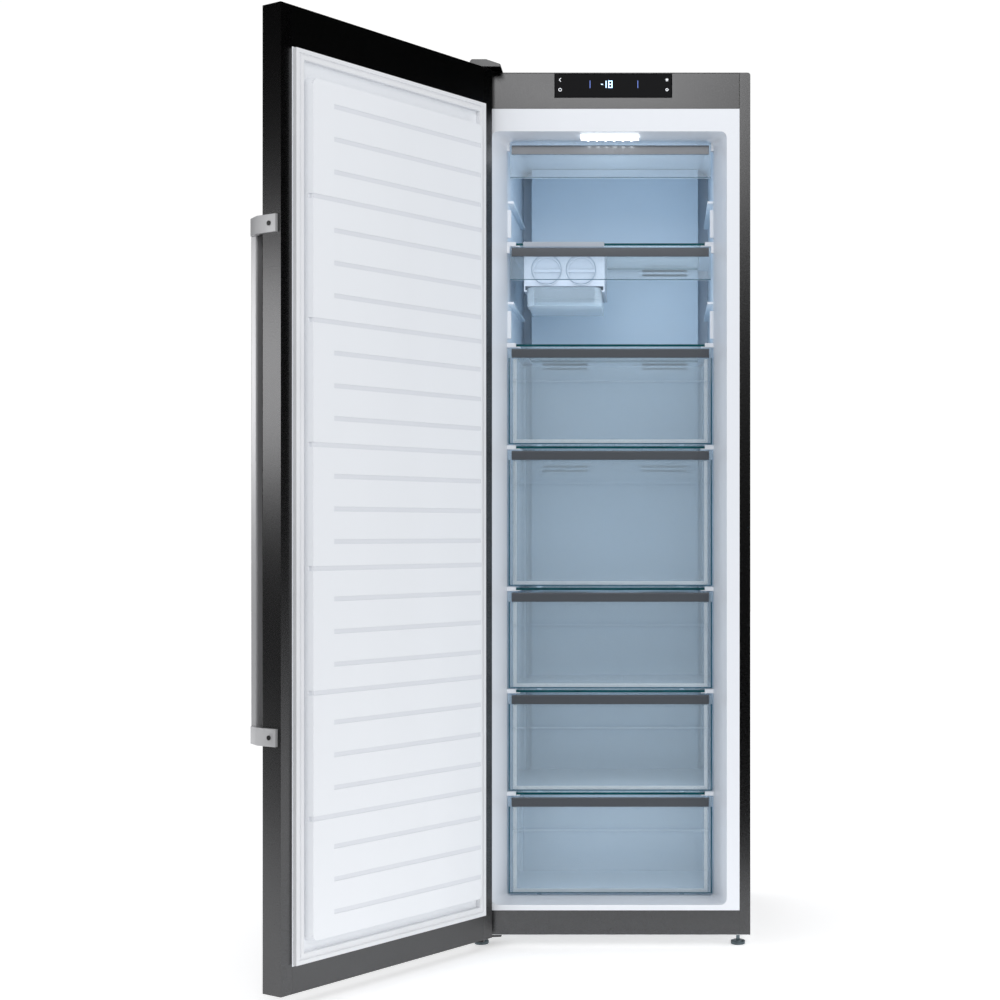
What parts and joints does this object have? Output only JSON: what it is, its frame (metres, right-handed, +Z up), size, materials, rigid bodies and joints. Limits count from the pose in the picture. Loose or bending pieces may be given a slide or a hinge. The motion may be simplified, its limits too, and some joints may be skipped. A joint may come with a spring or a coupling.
{
  "type": "upright freezer",
  "caption": "Tall frost-free upright freezer: insulated cabinet with a full-height hinged door, flaps, sliding drawers, glass shelves and an ice maker, shown with its door open.",
  "frame": {"origin": "on the floor, under the middle of the front right foot", "axes": "+X to the right seen from the front, +Y to the back, +Z up; the front feet and rear rollers stand on Z = 0"},
  "size_m": [0.9584, 1.1171, 1.876],
  "materials": {
    "dark_casing": "satin",
    "dark_plastic": "satin",
    "black_glass": "gloss",
    "circuit_board": "satin",
    "zinc_sheet": "satin",
    "black_steel": "satin",
    "white_liner": "satin",
    "white_knob": "satin",
    "foam": "matte",
    "shelf_glass": "gloss",
    "clear_plastic": "gloss",
    "grey_trim": "satin",
    "lamp_cover": "gloss",
    "tray_plastic": "satin",
    "evaporator_metal": "satin",
    "motor_can": "satin",
    "pot_shell": "satin",
    "black_plastic": "matte",
    "black_rubber": "matte",
    "white_seal": "matte",
    "white_nylon": "matte",
    "handle_metal": "satin",
    "screw_steel": "satin"
  },
  "bodies": {
    "cabinet": {"cabinet_shell": "dark_casing", "top_fascia": "dark_plastic", "control_glass": "black_glass", "control_board": "circuit_board", "bottom_rail": "dark_casing", "base_plate": "zinc_sheet", "rear_panel": "zinc_sheet", "bay_liner": "zinc_sheet", "bay_cover": "black_steel", "cord_gland": "black_plastic", "inner_liner": "white_liner", "insulation_foam": "foam", "glass_shelves": "shelf_glass", "led_lamp": "lamp_cover", "ice_frame": "white_liner", "evaporator_cover": "white_liner", "evaporator": "evaporator_metal", "fan_motor": "motor_can", "compressor": "pot_shell", "compressor_grommets": "black_rubber", "drip_tray": "black_plastic", "condenser_coil": "black_steel", "door_hinges": "black_steel", "top_hinge_cover": "dark_plastic", "hinge_screws": "screw_steel", "foot_inserts": "black_plastic", "roller_brackets": "zinc_sheet"},
    "door": {"door_skin": "dark_casing", "door_end_caps": "dark_plastic", "door_bushes": "white_nylon", "door_liner": "white_liner", "door_foam": "foam", "door_gasket": "white_seal", "handle_bar": "handle_metal", "handle_brackets": "handle_metal", "handle_screws": "screw_steel"},
    "flap_1": {"flap_1": "clear_plastic", "flap_trim_1": "grey_trim"},
    "flap_2": {"flap_2": "clear_plastic", "flap_trim_2": "grey_trim"},
    "drawer_1": {"drawer_1": "clear_plastic", "drawer_trim_1": "grey_trim"},
    "drawer_2": {"drawer_2": "clear_plastic", "drawer_trim_2": "grey_trim"},
    "drawer_3": {"drawer_3": "clear_plastic", "drawer_trim_3": "grey_trim"},
    "drawer_4": {"drawer_4": "clear_plastic", "drawer_trim_4": "grey_trim"},
    "drawer_5": {"drawer_5": "clear_plastic", "drawer_trim_5": "grey_trim"},
    "ice_bin": {"ice_bin": "clear_plastic"},
    "ice_tray_left": {"ice_tray_left": "tray_plastic", "ice_knob_left": "white_knob"},
    "ice_tray_right": {"ice_tray_right": "tray_plastic", "ice_knob_right": "white_knob"},
    "fan": {"fan_blade": "black_plastic"},
    "foot_left": {"foot_left": "black_plastic"},
    "foot_right": {"foot_right": "black_plastic"},
    "roller_left": {"roller_left": "black_plastic"},
    "roller_right": {"roller_right": "black_plastic"}
  },
  "joints": [
    {"name": "door_hinge", "type": "hinge", "parent": "cabinet", "child": "door", "pos_m": [-0.5535, -0.069, 0.95], "axis": [0, 0, -1], "range_deg": [-124.8, 7]},
    {"name": "flap_1_hinge", "type": "hinge", "parent": "cabinet", "child": "flap_1", "pos_m": [-0.275, 0.048, 1.717], "axis": [-1, 0, 0], "range_deg": [0, 80]},
    {"name": "flap_2_hinge", "type": "hinge", "parent": "cabinet", "child": "flap_2", "pos_m": [-0.275, 0.048, 1.4955], "axis": [-1, 0, 0], "range_deg": [0, 80]},
    {"name": "drawer_1_slide", "type": "slide", "parent": "cabinet", "child": "drawer_1", "axis": [0, -1, 0], "range_m": [0, 0.28]},
    {"name": "drawer_2_slide", "type": "slide", "parent": "cabinet", "child": "drawer_2", "axis": [0, -1, 0], "range_m": [0, 0.28]},
    {"name": "drawer_3_slide", "type": "slide", "parent": "cabinet", "child": "drawer_3", "axis": [0, -1, 0], "range_m": [0, 0.28]},
    {"name": "drawer_4_slide", "type": "slide", "parent": "cabinet", "child": "drawer_4", "axis": [0, -1, 0], "range_m": [0, 0.28]},
    {"name": "drawer_5_slide", "type": "slide", "parent": "cabinet", "child": "drawer_5", "axis": [0, -1, 0], "range_m": [0, 0.18]},
    {"name": "ice_bin_slide", "type": "slide", "parent": "cabinet", "child": "ice_bin", "axis": [0, -1, 0], "range_m": [0, 0.14]},
    {"name": "ice_tray_left_twist", "type": "hinge", "parent": "cabinet", "child": "ice_tray_left", "pos_m": [-0.414, 0.075, 1.4533], "axis": [0, 1, 0], "range_deg": [0, 120], "stiffness_Nm_per_rad": 0.05, "springref_deg": -11.46},
    {"name": "ice_tray_right_twist", "type": "hinge", "parent": "cabinet", "child": "ice_tray_right", "pos_m": [-0.339, 0.075, 1.4533], "axis": [0, 1, 0], "range_deg": [0, 120], "stiffness_Nm_per_rad": 0.05, "springref_deg": -11.46},
    {"name": "fan_spin", "type": "hinge", "parent": "cabinet", "child": "fan", "pos_m": [-0.275, 0.44, 1.6], "axis": [0, 1, 0], "continuous": true},
    {"name": "foot_left_screw", "type": "hinge", "parent": "cabinet", "child": "foot_left", "pos_m": [-0.55, 0, 0.02], "axis": [0, 0, 1], "continuous": true},
    {"name": "foot_right_screw", "type": "hinge", "parent": "cabinet", "child": "foot_right", "pos_m": [0, 0, 0.02], "axis": [0, 0, 1], "continuous": true},
    {"name": "roller_left_spin", "type": "hinge", "parent": "cabinet", "child": "roller_left", "pos_m": [-0.515, 0.51, 0.011], "axis": [1, 0, 0], "continuous": true},
    {"name": "roller_right_spin", "type": "hinge", "parent": "cabinet", "child": "roller_right", "pos_m": [-0.035, 0.51, 0.011], "axis": [1, 0, 0], "continuous": true}
  ]
}
